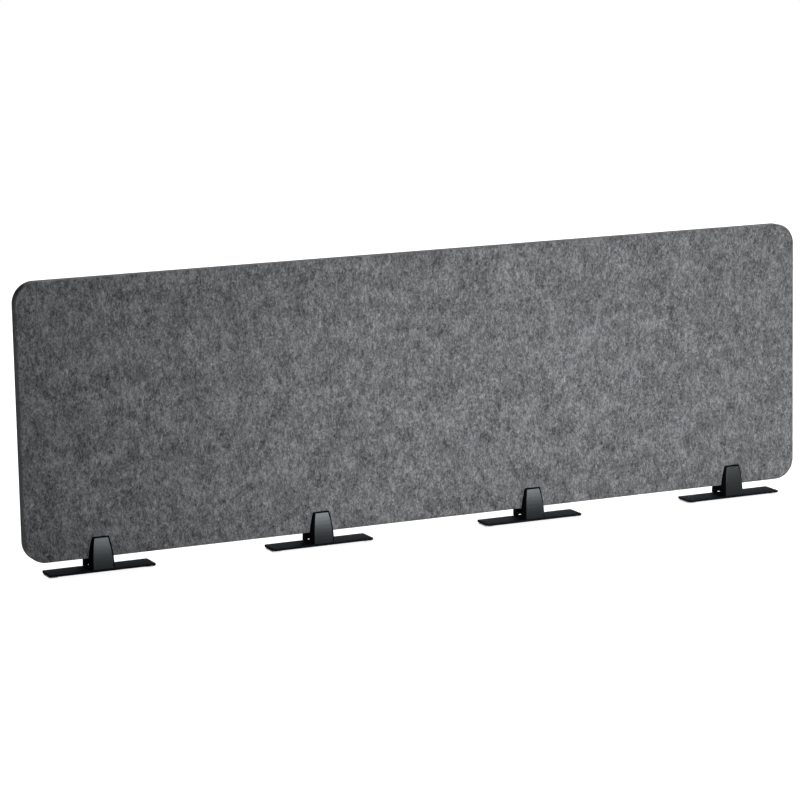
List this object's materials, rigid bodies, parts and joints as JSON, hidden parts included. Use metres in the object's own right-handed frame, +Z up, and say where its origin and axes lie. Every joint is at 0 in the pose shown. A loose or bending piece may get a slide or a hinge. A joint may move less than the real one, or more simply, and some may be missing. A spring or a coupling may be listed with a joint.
{
  "type": "acoustic divider screen",
  "caption": "Long low acoustic felt screen with rounded corners, held along its lower edge by screw clamps on flat steel feet that swivel.",
  "frame": {"origin": "middle of the footprint, on the surface that the screen stands on", "axes": "+X along the panel, front towards -Y, +Z up"},
  "size_m": [1.6, 0.05, 0.5365],
  "materials": {
    "core": "soft board of pressed polyester fibre",
    "felt": "needled melange felt, matt",
    "jaw": "satin glass-filled nylon",
    "plate": "fine black powder coat",
    "pad": "light grey anti-slip foam rubber",
    "grip": "matt rubber",
    "screw": "zinc-plated steel",
    "sleeve": "turned brass",
    "washer": "natural nylon"
  },
  "bodies": {
    "screen": {"core_board": "core", "front_felt": "felt", "rear_felt": "felt", "clamp_base_1": "jaw", "rear_jaw_1": "jaw", "rear_grip_1": "grip", "pivot_screw_1": "screw", "pivot_sleeve_1": "sleeve", "clamp_base_2": "jaw", "rear_jaw_2": "jaw", "rear_grip_2": "grip", "pivot_screw_2": "screw", "pivot_sleeve_2": "sleeve", "clamp_base_3": "jaw", "rear_jaw_3": "jaw", "rear_grip_3": "grip", "pivot_screw_3": "screw", "pivot_sleeve_3": "sleeve", "clamp_base_4": "jaw", "rear_jaw_4": "jaw", "rear_grip_4": "grip", "pivot_screw_4": "screw", "pivot_sleeve_4": "sleeve"},
    "front_jaw_1": {"front_jaw_1": "jaw", "front_grip_1": "grip", "jaw_sleeve_1": "sleeve"},
    "clamp_screw_1": {"clamp_screw_1": "screw"},
    "foot_1": {"foot_plate_1": "plate", "foot_pads_1": "pad", "pivot_washer_1": "washer"},
    "front_jaw_2": {"front_jaw_2": "jaw", "front_grip_2": "grip", "jaw_sleeve_2": "sleeve"},
    "clamp_screw_2": {"clamp_screw_2": "screw"},
    "foot_2": {"foot_plate_2": "plate", "foot_pads_2": "pad", "pivot_washer_2": "washer"},
    "front_jaw_3": {"front_jaw_3": "jaw", "front_grip_3": "grip", "jaw_sleeve_3": "sleeve"},
    "clamp_screw_3": {"clamp_screw_3": "screw"},
    "foot_3": {"foot_plate_3": "plate", "foot_pads_3": "pad", "pivot_washer_3": "washer"},
    "front_jaw_4": {"front_jaw_4": "jaw", "front_grip_4": "grip", "jaw_sleeve_4": "sleeve"},
    "clamp_screw_4": {"clamp_screw_4": "screw"},
    "foot_4": {"foot_plate_4": "plate", "foot_pads_4": "pad", "pivot_washer_4": "washer"}
  },
  "joints": [
    {"name": "clamp_screw_turn_1", "type": "hinge", "parent": "screen", "child": "clamp_screw_1", "pos_m": [-0.658, 0, 0.0188], "axis": [0, 1, 0], "range_deg": [0, 2250]},
    {"name": "front_jaw_slide_1", "type": "slide", "parent": "screen", "child": "front_jaw_1", "axis": [0, -1, 0], "range_m": [0, 0.005]},
    {"name": "foot_swivel_1", "type": "hinge", "parent": "screen", "child": "foot_1", "pos_m": [-0.658, 0, 0.0062], "axis": [0, 0, 1], "range_deg": [-90, 90]},
    {"name": "clamp_screw_turn_2", "type": "hinge", "parent": "screen", "child": "clamp_screw_2", "pos_m": [-0.22438, 0, 0.0188], "axis": [0, 1, 0], "range_deg": [0, 2250]},
    {"name": "front_jaw_slide_2", "type": "slide", "parent": "screen", "child": "front_jaw_2", "axis": [0, -1, 0], "range_m": [0, 0.005]},
    {"name": "foot_swivel_2", "type": "hinge", "parent": "screen", "child": "foot_2", "pos_m": [-0.22438, 0, 0.0062], "axis": [0, 0, 1], "range_deg": [-90, 90]},
    {"name": "clamp_screw_turn_3", "type": "hinge", "parent": "screen", "child": "clamp_screw_3", "pos_m": [0.21648, 0, 0.0188], "axis": [0, 1, 0], "range_deg": [0, 2250]},
    {"name": "front_jaw_slide_3", "type": "slide", "parent": "screen", "child": "front_jaw_3", "axis": [0, -1, 0], "range_m": [0, 0.005]},
    {"name": "foot_swivel_3", "type": "hinge", "parent": "screen", "child": "foot_3", "pos_m": [0.21648, 0, 0.0062], "axis": [0, 0, 1], "range_deg": [-90, 90]},
    {"name": "clamp_screw_turn_4", "type": "hinge", "parent": "screen", "child": "clamp_screw_4", "pos_m": [0.65734, 0, 0.0188], "axis": [0, 1, 0], "range_deg": [0, 2250]},
    {"name": "front_jaw_slide_4", "type": "slide", "parent": "screen", "child": "front_jaw_4", "axis": [0, -1, 0], "range_m": [0, 0.005]},
    {"name": "foot_swivel_4", "type": "hinge", "parent": "screen", "child": "foot_4", "pos_m": [0.65734, 0, 0.0062], "axis": [0, 0, 1], "range_deg": [-90, 90]}
  ],
  "couplings": [
    {"joint": "clamp_screw_turn_1", "follows": "front_jaw_slide_1", "rad_per_m": 7854},
    {"joint": "clamp_screw_turn_2", "follows": "front_jaw_slide_2", "rad_per_m": 7854},
    {"joint": "clamp_screw_turn_3", "follows": "front_jaw_slide_3", "rad_per_m": 7854},
    {"joint": "clamp_screw_turn_4", "follows": "front_jaw_slide_4", "rad_per_m": 7854}
  ]
}
